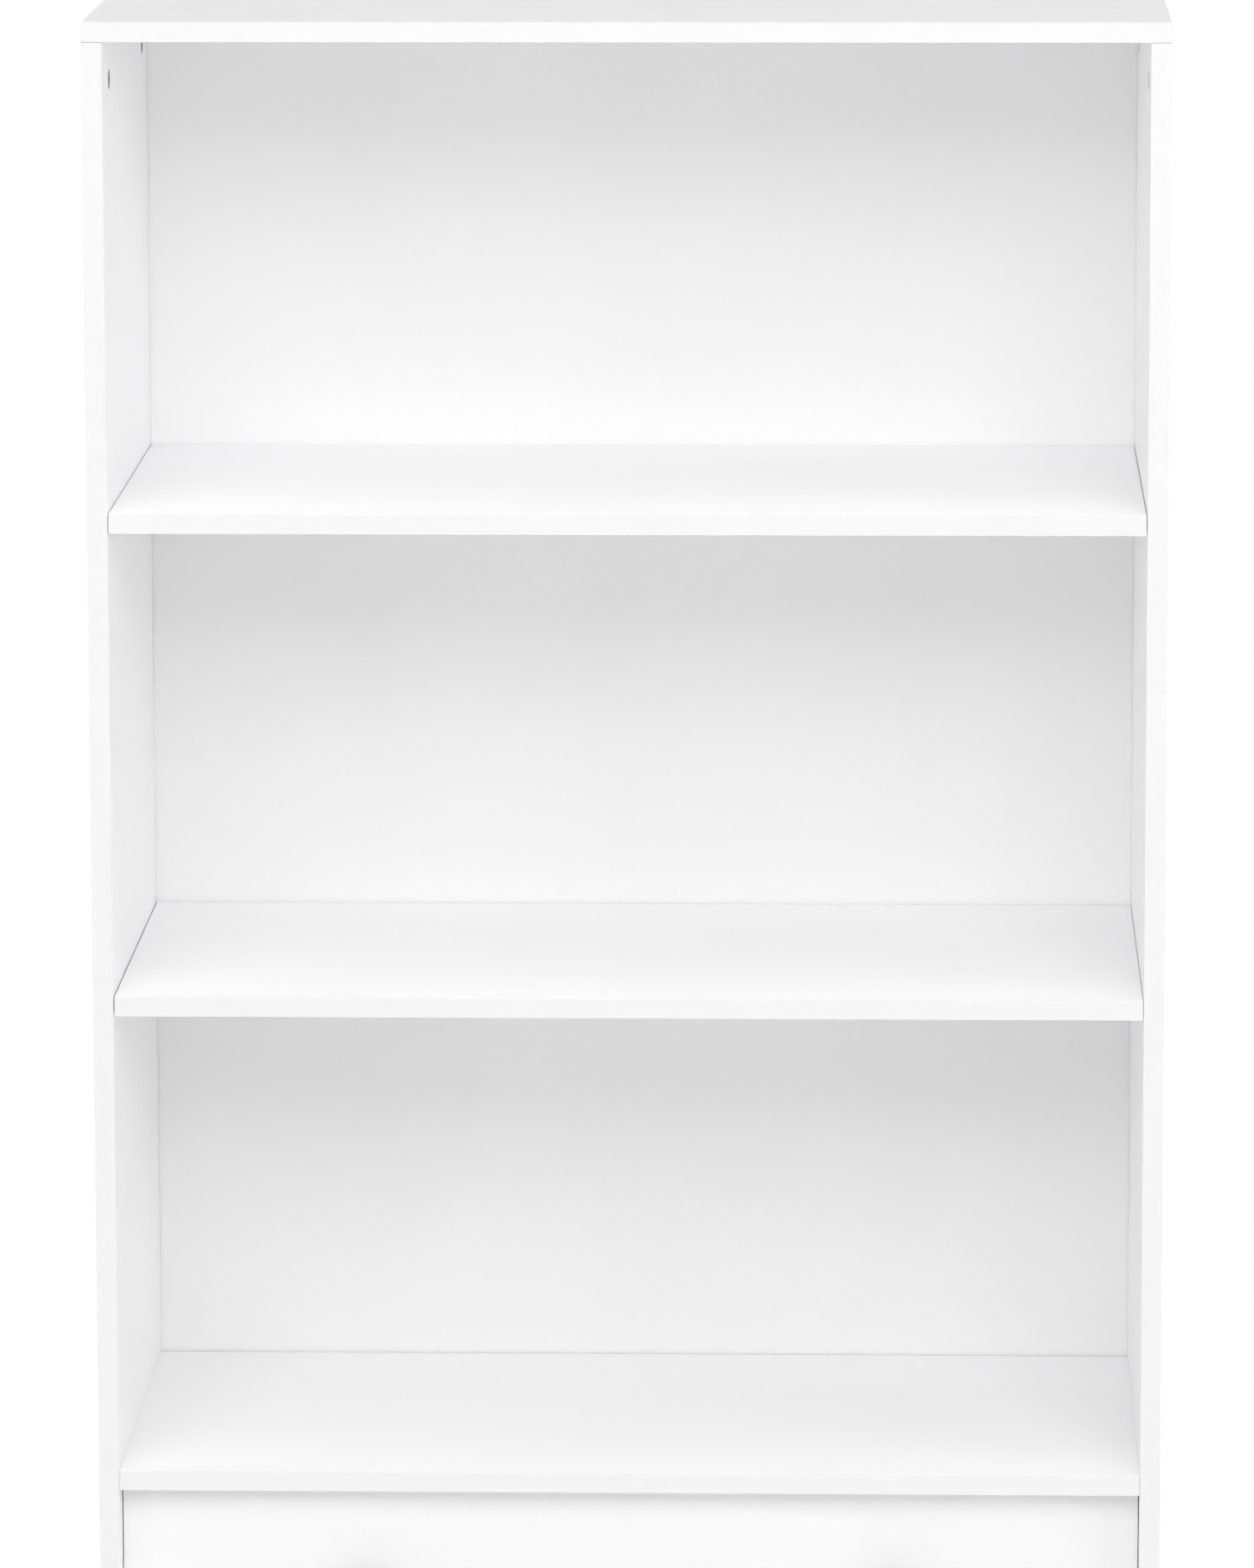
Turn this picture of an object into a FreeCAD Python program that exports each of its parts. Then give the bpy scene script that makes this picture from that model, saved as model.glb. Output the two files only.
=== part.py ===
import FreeCAD, Part
import os
from collections import namedtuple
from FreeCAD import Vector

# Bookcase with three open compartments above two full-width drawers.
# Millimetres. X runs to the right, Y to the back, Z up. The floor is at Z = 0 and
# the origin lies under the middle of the carcass.

# Carcass
carcass_width = 800.0
carcass_depth = 400.0
board = 15.0
edge_radius = 0.4
compartment_height = 350.0
plinth_height = 42.0
plinth_setback = 24.0

# Back panel
back_thickness = 3.0
back_inset = 12.0
groove_depth = 6.0
groove_front_play = 0.4
groove_side_play = 0.2
groove_end_play = 1.0
fixed_board_play = 1.0

# Loose shelves
shelf_end_play = 0.5
shelf_setback = 0.5
shelf_back_play = 1.0
upper_shelf_backward = 0.5
lower_shelf_sideways = 0.2
shelf_seat_play = 0.1

# Shelf pins
pin_radius = 2.5
pin_in_side = 8.0
pin_under_shelf = 9.0
pin_flat = 0.5
pin_front_inset = 50.0
pin_rear_inset = 50.0

# Play between a fastener and its hole
fit_play = 0.1
hole_end_play = 1.0

# Cam fittings of the carcass
cam_front_inset = 57.0
cam_rear_inset = 57.0
cam_radius = 7.5
cam_floor = 2.5
cam_edge_distance = 32.5
cam_recess_length = 7.0
cam_recess_width = 1.6
cam_recess_depth = 2.4
bolt_thread_radius = 2.5
bolt_thread_length = 11.0
bolt_shank_radius = 3.0
bolt_neck_radius = 1.9
bolt_head_radius = 3.3
bolt_head_length = 3.0
bolt_hole_play = 0.4

# Dowels of the carcass
dowel_radius = 4.0
dowel_in_face = 10.0
dowel_in_edge = 20.0
dowel_from_cam = 32.0
plinth_cam_rise = 10.0
plinth_dowel_drop = 9.0

# Nails of the back panel
nail_radius = 0.8
nail_length = 20.0
nail_head_radius = 2.2
nail_head_height = 0.5
nail_count = 5
nail_side_inset = 60.0

# Floor glides
glide_radius = 7.0
glide_height = 4.0
glide_chamfer = 0.8
glide_pin_radius = 1.2
glide_pin_length = 12.0
glide_from_plinth = 10.0
glide_rear_inset = 30.0

# Wall bracket
bracket_width = 22.0
bracket_leg = 26.0
bracket_sheet = 2.0
bracket_bend = 1.5
bracket_back_play = 0.2
bracket_hole_radius = 2.75
bracket_hole_drop = 15.0
wall_screw_passage = 1.25
bracket_screw_spacing = 11.0
bracket_screw_reach = 14.0

# Wood screws of the bracket and the runners
screw_radius = 1.6
screw_length = 11.0
screw_head_radius = 3.2
screw_head_height = 1.2

# Drawers
drawer_setback = 24.0
drawer_front_height = 160.0
drawer_front_board = 15.0
reveal = 3.0
end_reveal = 0.6
drawer_board = 12.0
drawer_side_drop = 25.0
drawer_back_gap = 5.0
drawer_bottom_rise = 10.0
drawer_bottom_thickness = 3.0
drawer_groove_depth = 5.0

# Fittings of the drawer box
drawer_cam_radius = 6.0
drawer_cam_floor = 2.5
drawer_cam_edge_distance = 24.0
drawer_bolt_shank_radius = 2.5
drawer_bolt_neck_radius = 1.5
drawer_bolt_head_radius = 2.4
drawer_bolt_head_length = 2.6
drawer_cam_rise = 34.0
drawer_cam_drop = 24.0
drawer_dowel_radius = 3.0
drawer_dowel_in_edge = 18.0
back_screw_radius = 2.5
back_screw_length = 38.0
back_screw_head_radius = 3.5
back_screw_head_length = 3.0
back_screw_rise = 36.0
back_screw_drop = 24.0

# Knobs
knob_spacing = 400.0
knob_radius = 15.0
knob_projection = 23.5
knob_base_radius = 7.0
knob_base_height = 2.5
knob_neck_radius = 5.0
knob_flare = 3.5
knob_head_height = 8.0
knob_rim = 2.5
knob_dome = 3.0
knob_screw_radius = 2.0
knob_screw_bite = 11.0
knob_screw_head_radius = 4.0
knob_screw_head_height = 2.4

# Roller runners
runner_space = 12.5
runner_sheet = 1.2
runner_rise = 20.0
runner_end_play = 1.0
runner_top_flange = 9.0
runner_lip_edge = 3.0
runner_web_play = 0.9
runner_screw_inset = 45.0
rail_screw_inset = 55.0
rail_screw_edge = 4.0
roller_radius = 7.5
roller_width = 6.4
roller_play = 0.1
roller_inset = 14.0
lip_rise = 1.2
lip_play = 0.8
axle_radius = 2.0
axle_play = 0.06
axle_shoulder_radius = 3.2
axle_shoulder = 1.2
axle_head_radius = 3.0
axle_head = 0.6
axle_end_play = 0.2

# Planes and levels that follow from the sizes above
half_width = carcass_width / 2
inner_half = half_width - board
side_middle = half_width - board / 2
front_y = -carcass_depth / 2
rear_y = carcass_depth / 2
back_rear_y = rear_y - back_inset
back_front_y = back_rear_y - back_thickness
groove_front_y = back_front_y - groove_front_play
fixed_rear_y = back_front_y - fixed_board_play
bracket_rear_y = back_front_y - bracket_back_play
side_bottom = glide_height
base_under = side_bottom + plinth_height
base_top = base_under + board
lower_front_bottom = base_top + reveal
upper_front_bottom = lower_front_bottom + drawer_front_height + reveal
bottom_shelf_under = upper_front_bottom + drawer_front_height + reveal
bottom_shelf_top = bottom_shelf_under + board
lower_shelf_under = bottom_shelf_top + compartment_height
lower_shelf_top = lower_shelf_under + board
upper_shelf_under = lower_shelf_top + compartment_height
upper_shelf_top = upper_shelf_under + board
top_under = upper_shelf_top + compartment_height
top_top = top_under + board
cam_front_y = front_y + cam_front_inset
cam_rear_y = rear_y - cam_rear_inset
bracket_hole_z = top_under - bracket_hole_drop
plinth_middle_y = front_y + plinth_setback + board / 2
plinth_middle_z = side_bottom + plinth_height / 2
glide_front_y = front_y + plinth_setback + board + glide_from_plinth

# Drawer planes
drawer_face_y = front_y + drawer_setback
drawer_front_rear_y = drawer_face_y + drawer_front_board
drawer_rear_y = back_front_y - drawer_back_gap
drawer_outer = inner_half - runner_space
drawer_inner = drawer_outer - drawer_board
drawer_side_height = drawer_front_height - runner_rise - drawer_side_drop

# Runner section, measured from the side panel inwards and from the track upwards
runner_front_y = drawer_front_rear_y + runner_end_play
runner_rear_y = drawer_rear_y
track_width = runner_space - runner_sheet - runner_web_play
lip_under = 2 * roller_radius + lip_rise
rear_roller_z = roller_play + roller_radius
front_roller_z = lip_under - roller_play - roller_radius
top_flange_under = lip_under + runner_sheet + lip_play
front_roller_y = runner_front_y + roller_inset
rear_roller_y = runner_rear_y - roller_inset
runner_screw_z = (lip_under + runner_sheet) / 2

# How near a corner must lie to count as the same
same_place = 0.01

left = -1
right = 1
up = Vector(0, 0, 1)
down = Vector(0, 0, -1)
to_back = Vector(0, 1, 0)
to_front = Vector(0, -1, 0)

CamKit = namedtuple("CamKit", "radius floor edge_distance thickness shank neck head head_length")
carcass_kit = CamKit(cam_radius, cam_floor, cam_edge_distance, board,
                     bolt_shank_radius, bolt_neck_radius, bolt_head_radius, bolt_head_length)
drawer_kit = CamKit(drawer_cam_radius, drawer_cam_floor, drawer_cam_edge_distance, drawer_board,
                    drawer_bolt_shank_radius, drawer_bolt_neck_radius,
                    drawer_bolt_head_radius, drawer_bolt_head_length)


# Basic shapes

def block(x0, x1, y0, y1, z0, z1):
    return Part.makeBox(x1 - x0, y1 - y0, z1 - z0, Vector(x0, y0, z0))


def eased(shape):
    return shape.makeFillet(edge_radius, shape.Edges)


def rounded_along_x(shape, y, z, radius):
    bent = [edge for edge in shape.Edges
            if all(abs(v.Y - y) + abs(v.Z - z) < same_place for v in edge.Vertexes)]
    return shape.makeFillet(radius, bent)


def rod(radius, start, direction, length):
    return Part.makeCylinder(radius, length, start, direction)


def inward(side):
    return Vector(-side, 0, 0)


def outward(side):
    return Vector(side, 0, 0)


def joined(shapes):
    whole = shapes[0].fuse(shapes[1:])
    return whole.removeSplitter()


def group(shapes):
    return Part.makeCompound(shapes)


def across(side, near, far, y0, y1, z0, z1):
    ends = sorted((side * near, side * far))
    return block(ends[0], ends[1], y0, y1, z0, z1)


# Cam fitting: a disc in one board that draws in a bolt screwed into the other board

class CamJoint:
    def __init__(self, point, into_board, opening, kit):
        self.point = point
        self.into_board = into_board
        self.opening = opening
        self.kit = kit
        self.centre = point + into_board * kit.edge_distance
        self.mouth = self.centre + opening * (kit.thickness / 2)
        self.depth = kit.thickness - kit.floor

    def head_bore(self):
        start = self.centre - self.into_board * self.kit.radius
        reach = self.kit.radius + self.kit.head_length / 2 + bolt_hole_play
        return rod(self.kit.head + bolt_hole_play, start, self.into_board, reach)

    def driver_recess(self):
        turn = self.into_board.cross(self.opening)
        arms = []
        for long_way, short_way in ((self.into_board, turn), (turn, self.into_board)):
            corner = self.mouth - long_way * (cam_recess_length / 2) - short_way * (cam_recess_width / 2)
            corners = [corner, corner + long_way * cam_recess_length]
            corners.append(corners[1] + short_way * cam_recess_width)
            corners.append(corner + short_way * cam_recess_width)
            outline = Part.Face(Part.makePolygon(corners + [corner]))
            arms.append(outline.extrude(self.opening * -cam_recess_depth))
        return arms

    def disc(self):
        radius = self.kit.radius - fit_play
        body = rod(radius, self.mouth, self.opening * -1, self.depth - fit_play)
        return body.cut([self.head_bore()] + self.driver_recess())

    def bolt(self):
        kit = self.kit
        shank_length = kit.edge_distance - kit.radius
        neck_length = kit.edge_distance - kit.head_length / 2
        head_start = self.point + self.into_board * neck_length
        thread = rod(bolt_thread_radius, self.point - self.into_board * bolt_thread_length,
                     self.into_board, bolt_thread_length)
        shank = rod(kit.shank, self.point, self.into_board, shank_length)
        neck = rod(kit.neck, self.point, self.into_board, kit.edge_distance)
        head = rod(kit.head, head_start, self.into_board, kit.head_length)
        return joined([thread, shank, neck, head])

    def board_cuts(self):
        bore = rod(self.kit.radius, self.mouth, self.opening * -1, self.depth)
        bolt_hole = rod(self.kit.head + bolt_hole_play, self.point, self.into_board, self.kit.edge_distance)
        return [bore, bolt_hole]

    def mate_cuts(self):
        reach = bolt_thread_length + hole_end_play
        start = self.point - self.into_board * reach
        return [rod(bolt_thread_radius + fit_play, start, self.into_board, reach)]


# Dowel: half in a drilled edge, half in a drilled face

class Dowel:
    def __init__(self, point, into_edge, radius, in_edge):
        self.start = point - into_edge * dowel_in_face
        self.into_edge = into_edge
        self.radius = radius
        self.length = dowel_in_face + in_edge

    def pin(self):
        return rod(self.radius, self.start, self.into_edge, self.length)

    def cuts(self):
        start = self.start - self.into_edge * hole_end_play
        return [rod(self.radius + fit_play, start, self.into_edge, self.length + 2 * hole_end_play)]


# Wood screw with a flat round head lying on sheet metal

class WoodScrew:
    def __init__(self, head_seat, into_wood, sheet):
        self.head_seat = head_seat
        self.into_wood = into_wood
        self.sheet = sheet

    def screw(self):
        shank = rod(screw_radius, self.head_seat, self.into_wood, self.sheet + screw_length)
        head = rod(screw_head_radius, self.head_seat, self.into_wood * -1, screw_head_height)
        return joined([shank, head])

    def cuts(self):
        return [rod(screw_radius + fit_play, self.head_seat, self.into_wood,
                    self.sheet + screw_length + hole_end_play)]


# Joints of the carcass

def top_cams(side):
    return [CamJoint(Vector(side * side_middle, y, top_under), down, inward(side), carcass_kit)
            for y in (cam_front_y, cam_rear_y)]


def top_dowels(side):
    return [Dowel(Vector(side * side_middle, y, top_under), down, dowel_radius, dowel_in_edge)
            for y in (cam_front_y + dowel_from_cam, cam_rear_y - dowel_from_cam)]


def shelf_cams(side, under):
    return [CamJoint(Vector(side * inner_half, y, under + board / 2), inward(side), down, carcass_kit)
            for y in (cam_front_y, cam_rear_y)]


def shelf_dowels(side, under):
    return [Dowel(Vector(side * inner_half, y, under + board / 2), inward(side), dowel_radius, dowel_in_edge)
            for y in (cam_front_y + dowel_from_cam, cam_rear_y - dowel_from_cam)]


def plinth_cams(side):
    point = Vector(side * inner_half, plinth_middle_y, plinth_middle_z + plinth_cam_rise)
    return [CamJoint(point, inward(side), to_back, carcass_kit)]


def plinth_dowels(side):
    point = Vector(side * inner_half, plinth_middle_y, plinth_middle_z - plinth_dowel_drop)
    return [Dowel(point, inward(side), dowel_radius, dowel_in_edge)]


def fixed_unders():
    return (bottom_shelf_under, base_under)


def crosswise_cams(side):
    cams = plinth_cams(side)
    for under in fixed_unders():
        cams += shelf_cams(side, under)
    return cams


def carcass_cams(side):
    return top_cams(side) + crosswise_cams(side)


def carcass_dowel_list(side):
    dowels = top_dowels(side) + plinth_dowels(side)
    for under in fixed_unders():
        dowels += shelf_dowels(side, under)
    return dowels


def runner_screw_list(side, front_bottom):
    z = front_bottom + runner_rise + runner_screw_z
    seat_x = side * (inner_half - runner_sheet)
    return [WoodScrew(Vector(seat_x, y, z), outward(side), runner_sheet)
            for y in (runner_front_y + runner_screw_inset, runner_rear_y - runner_screw_inset)]


def bracket_screw_list():
    y = bracket_rear_y - bracket_screw_reach
    z = top_under - bracket_sheet
    return [WoodScrew(Vector(side * bracket_screw_spacing / 2, y, z), up, bracket_sheet)
            for side in (left, right)]


# Shelf pins

def pin_axis_z(shelf_under):
    return shelf_under - shelf_seat_play - pin_radius + pin_flat


def pin_rows():
    return (front_y + pin_front_inset, back_front_y - pin_rear_inset)


def pin_holes(side):
    depth = pin_in_side + hole_end_play
    mouths = [Vector(side * inner_half, y, pin_axis_z(shelf_under))
              for shelf_under in (lower_shelf_under, upper_shelf_under) for y in pin_rows()]
    return [rod(pin_radius + fit_play, mouth, outward(side), depth) for mouth in mouths]


def shelf_pin(side, y, shelf_under):
    z = pin_axis_z(shelf_under)
    start = Vector(side * (inner_half + pin_in_side), y, z)
    body = rod(pin_radius, start, inward(side), pin_in_side + pin_under_shelf)
    seat = across(side, inner_half, inner_half - pin_under_shelf, y - pin_radius, y + pin_radius,
                  z + pin_radius - pin_flat, z + pin_radius)
    return body.cut(seat)


def shelf_pins(shelf_under):
    return group([shelf_pin(side, y, shelf_under) for side in (left, right) for y in pin_rows()])


# Carcass boards

def glide_pin_points():
    return [Vector(side * side_middle, y, side_bottom)
            for side in (left, right) for y in (glide_front_y, rear_y - glide_rear_inset)]


def back_groove(x0, x1, z0, z1):
    return block(x0, x1, groove_front_y, back_rear_y + groove_side_play, z0, z1)


def side_panel(side):
    panel = eased(across(side, inner_half, half_width, front_y, rear_y, side_bottom, top_under))
    ends = sorted((side * inner_half, side * (inner_half + groove_depth)))
    cuts = [back_groove(ends[0], ends[1], side_bottom, top_under)]
    for joint in top_cams(side):
        cuts += joint.board_cuts()
    for joint in crosswise_cams(side):
        cuts += joint.mate_cuts()
    for dowel in carcass_dowel_list(side):
        cuts += dowel.cuts()
    for front_bottom in (lower_front_bottom, upper_front_bottom):
        for screw in runner_screw_list(side, front_bottom):
            cuts += screw.cuts()
    for point in glide_pin_points():
        cuts.append(rod(glide_pin_radius + fit_play, point, up, glide_pin_length + hole_end_play))
    return panel.cut(cuts + pin_holes(side))


def top_panel():
    panel = eased(block(-half_width, half_width, front_y, rear_y, top_under, top_top))
    reach = inner_half + groove_depth
    cuts = [back_groove(-reach, reach, top_under, top_under + groove_depth)]
    for side in (left, right):
        for joint in top_cams(side):
            cuts += joint.mate_cuts()
        for dowel in top_dowels(side):
            cuts += dowel.cuts()
    for screw in bracket_screw_list():
        cuts += screw.cuts()
    return panel.cut(cuts)


def nail_points(under):
    span = 2 * (inner_half - nail_side_inset)
    step = span / (nail_count - 1)
    return [Vector(-span / 2 + i * step, back_rear_y, under + board / 2) for i in range(nail_count)]


def nail_cut(point):
    return rod(nail_radius + fit_play, point, to_front, nail_length + hole_end_play)


def fixed_panel(under):
    panel = eased(block(-inner_half, inner_half, front_y, fixed_rear_y, under, under + board))
    cuts = [nail_cut(point) for point in nail_points(under)]
    for side in (left, right):
        for joint in shelf_cams(side, under):
            cuts += joint.board_cuts()
        for dowel in shelf_dowels(side, under):
            cuts += dowel.cuts()
    return panel.cut(cuts)


def plinth_board():
    panel = eased(block(-inner_half, inner_half, front_y + plinth_setback, front_y + plinth_setback + board,
                        side_bottom, base_under))
    cuts = []
    for side in (left, right):
        for joint in plinth_cams(side):
            cuts += joint.board_cuts()
        for dowel in plinth_dowels(side):
            cuts += dowel.cuts()
    return panel.cut(cuts)


def back_panel():
    reach = inner_half + groove_depth - groove_end_play
    upper_edge = top_under + groove_depth - groove_end_play
    sheet = block(-reach, reach, back_front_y, back_rear_y, base_under, upper_edge)
    cuts = [nail_cut(point) for under in fixed_unders() for point in nail_points(under)]
    passage = bracket_hole_radius + wall_screw_passage
    cuts.append(rod(passage, Vector(0, back_front_y, bracket_hole_z), to_back, back_thickness))
    return sheet.cut(cuts)


def loose_shelf(under, sideways, backward):
    half = inner_half - shelf_end_play
    front = front_y + shelf_setback + backward
    rear = back_front_y - shelf_back_play + backward
    return eased(block(sideways - half, sideways + half, front, rear, under, under + board))


# Small pieces of the carcass

def carcass_discs():
    return group([joint.disc() for side in (left, right) for joint in carcass_cams(side)])


def carcass_bolts():
    return group([joint.bolt() for side in (left, right) for joint in carcass_cams(side)])


def carcass_dowels():
    return group([dowel.pin() for side in (left, right) for dowel in carcass_dowel_list(side)])


def back_nails():
    nails = []
    for under in fixed_unders():
        for point in nail_points(under):
            shank = rod(nail_radius, point, to_front, nail_length)
            head = rod(nail_head_radius, point, to_back, nail_head_height)
            nails.append(joined([shank, head]))
    return group(nails)


def floor_glide(point):
    foot = rod(glide_radius, point, down, glide_height)
    rim = [edge for edge in foot.Edges if edge.BoundBox.ZMax < point.z - glide_height / 2]
    foot = foot.makeChamfer(glide_chamfer, rim)
    return joined([foot, rod(glide_pin_radius, point, up, glide_pin_length)])


def floor_glides():
    return group([floor_glide(point) for point in glide_pin_points()])


def wall_bracket():
    rear = bracket_rear_y
    half = bracket_width / 2
    plate = block(-half, half, rear - bracket_leg, rear, top_under - bracket_leg, top_under)
    plate = rounded_along_x(plate, rear, top_under, bracket_bend + bracket_sheet)
    hollow = block(-half, half, rear - 2 * bracket_leg, rear - bracket_sheet,
                   top_under - 2 * bracket_leg, top_under - bracket_sheet)
    hollow = rounded_along_x(hollow, rear - bracket_sheet, top_under - bracket_sheet, bracket_bend)
    hole = rod(bracket_hole_radius, Vector(0, rear - bracket_sheet, bracket_hole_z), to_back, bracket_sheet)
    cuts = [hole]
    for screw in bracket_screw_list():
        cuts += screw.cuts()
    return plate.cut(hollow).cut(cuts)


def bracket_screws():
    return group([screw.screw() for screw in bracket_screw_list()])


# Roller runners

def axle(side, near, y, z, direction):
    start = Vector(side * near, y, z)
    roller_end = axle_shoulder + 2 * axle_end_play + roller_width
    shoulder = rod(axle_shoulder_radius, start, direction, axle_shoulder)
    spindle = rod(axle_radius, start, direction, roller_end + axle_head)
    head = rod(axle_head_radius, start + direction * roller_end, direction, axle_head)
    return joined([shoulder, spindle, head])


def roller(side, near, y, z, direction):
    start = Vector(side * near, y, z) + direction * (axle_shoulder + axle_end_play)
    tread = rod(roller_radius, start, direction, roller_width)
    return tread.cut(rod(axle_radius + axle_play, start, direction, roller_width))


def cabinet_runner(side, front_bottom):
    track = front_bottom + runner_rise
    y0 = runner_front_y
    y1 = runner_rear_y
    wall = inner_half
    web = across(side, wall, wall - runner_sheet, y0, y1,
                 track - runner_sheet, track + top_flange_under + runner_sheet)
    floor = across(side, wall, wall - track_width, y0, y1, track - runner_sheet, track)
    cover = across(side, wall, wall - runner_top_flange, y0, y1,
                   track + top_flange_under, track + top_flange_under + runner_sheet)
    front_axle = axle(side, wall - runner_sheet, front_roller_y, track + front_roller_z, inward(side))
    cuts = []
    for screw in runner_screw_list(side, front_bottom):
        cuts += screw.cuts()
    return joined([web, floor, cover]).cut(cuts).fuse(front_axle).removeSplitter()


def cabinet_runner_screws():
    return group([screw.screw() for front_bottom in (lower_front_bottom, upper_front_bottom)
                  for side in (left, right) for screw in runner_screw_list(side, front_bottom)])


def front_rollers(front_bottom):
    z = front_bottom + runner_rise + front_roller_z
    return group([roller(side, inner_half - runner_sheet, front_roller_y, z, inward(side))
                  for side in (left, right)])


def rear_rollers(front_bottom):
    z = front_bottom + runner_rise + rear_roller_z
    return group([roller(side, drawer_outer + runner_sheet, rear_roller_y, z, outward(side))
                  for side in (left, right)])


def rail_screw_list(side, front_bottom):
    x = side * (drawer_outer - rail_screw_edge)
    z = front_bottom + runner_rise - runner_sheet
    return [WoodScrew(Vector(x, y, z), up, runner_sheet)
            for y in (runner_front_y + rail_screw_inset, runner_rear_y - rail_screw_inset)]


def drawer_rail(side, front_bottom):
    track = front_bottom + runner_rise
    y0 = runner_front_y
    y1 = runner_rear_y
    outer = drawer_outer + runner_sheet
    leg = across(side, outer, drawer_inner, y0, y1, track - runner_sheet, track)
    web = across(side, outer, drawer_outer, y0, y1, track - runner_sheet, track + lip_under + runner_sheet)
    lip = across(side, drawer_outer, inner_half - runner_lip_edge, y0, y1,
                 track + lip_under, track + lip_under + runner_sheet)
    rear_axle = axle(side, outer, rear_roller_y, track + rear_roller_z, outward(side))
    cuts = []
    for screw in rail_screw_list(side, front_bottom):
        cuts += screw.cuts()
    return joined([leg, web, lip]).cut(cuts).fuse(rear_axle).removeSplitter()


def drawer_rail_screws(front_bottom):
    return group([screw.screw() for side in (left, right) for screw in rail_screw_list(side, front_bottom)])


# Drawer boxes

def drawer_cams(side, front_bottom):
    bottom = front_bottom + runner_rise
    x = side * (drawer_outer - drawer_board / 2)
    return [CamJoint(Vector(x, drawer_front_rear_y, z), to_back, outward(side), drawer_kit)
            for z in (bottom + drawer_cam_rise, bottom + drawer_side_height - drawer_cam_drop)]


def drawer_dowel_list(side, front_bottom):
    bottom = front_bottom + runner_rise
    middle = (drawer_cam_rise + drawer_side_height - drawer_cam_drop) / 2
    x = side * (drawer_outer - drawer_board / 2)
    return [Dowel(Vector(x, drawer_front_rear_y, bottom + middle), to_back,
                  drawer_dowel_radius, drawer_dowel_in_edge)]


def drawer_bottom_z(front_bottom):
    return front_bottom + runner_rise + drawer_bottom_rise


def drawer_bottom_groove(front_bottom):
    z = drawer_bottom_z(front_bottom)
    reach = drawer_inner + drawer_groove_depth
    return block(-reach, reach, drawer_front_rear_y - drawer_groove_depth, drawer_rear_y,
                 z - groove_side_play, z + drawer_bottom_thickness + groove_side_play)


def knob_points(front_bottom):
    z = front_bottom + drawer_front_height / 2
    return [Vector(side * knob_spacing / 2, drawer_face_y, z) for side in (left, right)]


def knob_screw_cut(point):
    return rod(knob_screw_radius + fit_play, point, to_back, drawer_front_board)


def drawer_front(front_bottom):
    half = inner_half - end_reveal
    panel = eased(block(-half, half, drawer_face_y, drawer_front_rear_y,
                        front_bottom, front_bottom + drawer_front_height))
    cuts = [drawer_bottom_groove(front_bottom)]
    cuts += [knob_screw_cut(point) for point in knob_points(front_bottom)]
    for side in (left, right):
        for joint in drawer_cams(side, front_bottom):
            cuts += joint.mate_cuts()
        for dowel in drawer_dowel_list(side, front_bottom):
            cuts += dowel.cuts()
    return panel.cut(cuts)


def back_screw_points(side, front_bottom):
    bottom = front_bottom + runner_rise
    y = drawer_rear_y - drawer_board / 2
    return [Vector(side * drawer_outer, y, z)
            for z in (bottom + back_screw_rise, bottom + drawer_side_height - back_screw_drop)]


def back_screw_cuts(side, front_bottom):
    cuts = []
    for point in back_screw_points(side, front_bottom):
        cuts.append(rod(back_screw_radius + fit_play, point, inward(side), back_screw_length + hole_end_play))
        cuts.append(rod(back_screw_head_radius + fit_play, point, inward(side), back_screw_head_length))
    return cuts


def drawer_side(side, front_bottom):
    bottom = front_bottom + runner_rise
    panel = across(side, drawer_inner, drawer_outer, drawer_front_rear_y, drawer_rear_y,
                   bottom, bottom + drawer_side_height)
    cuts = [drawer_bottom_groove(front_bottom)] + back_screw_cuts(side, front_bottom)
    for joint in drawer_cams(side, front_bottom):
        cuts += joint.board_cuts()
    for dowel in drawer_dowel_list(side, front_bottom):
        cuts += dowel.cuts()
    for screw in rail_screw_list(side, front_bottom):
        cuts += screw.cuts()
    return eased(panel).cut(cuts)


def drawer_back(front_bottom):
    under = drawer_bottom_z(front_bottom) + drawer_bottom_thickness + groove_side_play
    panel = block(-drawer_inner, drawer_inner, drawer_rear_y - drawer_board, drawer_rear_y,
                  under, front_bottom + runner_rise + drawer_side_height)
    cuts = back_screw_cuts(left, front_bottom) + back_screw_cuts(right, front_bottom)
    return eased(panel).cut(cuts)


def drawer_bottom(front_bottom):
    z = drawer_bottom_z(front_bottom)
    reach = drawer_inner + drawer_groove_depth - groove_side_play
    return block(-reach, reach, drawer_front_rear_y - drawer_groove_depth + groove_side_play, drawer_rear_y,
                 z, z + drawer_bottom_thickness)


def drawer_discs(front_bottom):
    return group([joint.disc() for side in (left, right) for joint in drawer_cams(side, front_bottom)])


def drawer_bolts(front_bottom):
    return group([joint.bolt() for side in (left, right) for joint in drawer_cams(side, front_bottom)])


def drawer_dowels(front_bottom):
    return group([dowel.pin() for side in (left, right) for dowel in drawer_dowel_list(side, front_bottom)])


def drawer_back_screws(front_bottom):
    screws = []
    for side in (left, right):
        for point in back_screw_points(side, front_bottom):
            shank = rod(back_screw_radius, point, inward(side), back_screw_length)
            head = rod(back_screw_head_radius, point, inward(side), back_screw_head_length)
            screws.append(joined([shank, head]))
    return group(screws)


# Knobs

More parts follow.
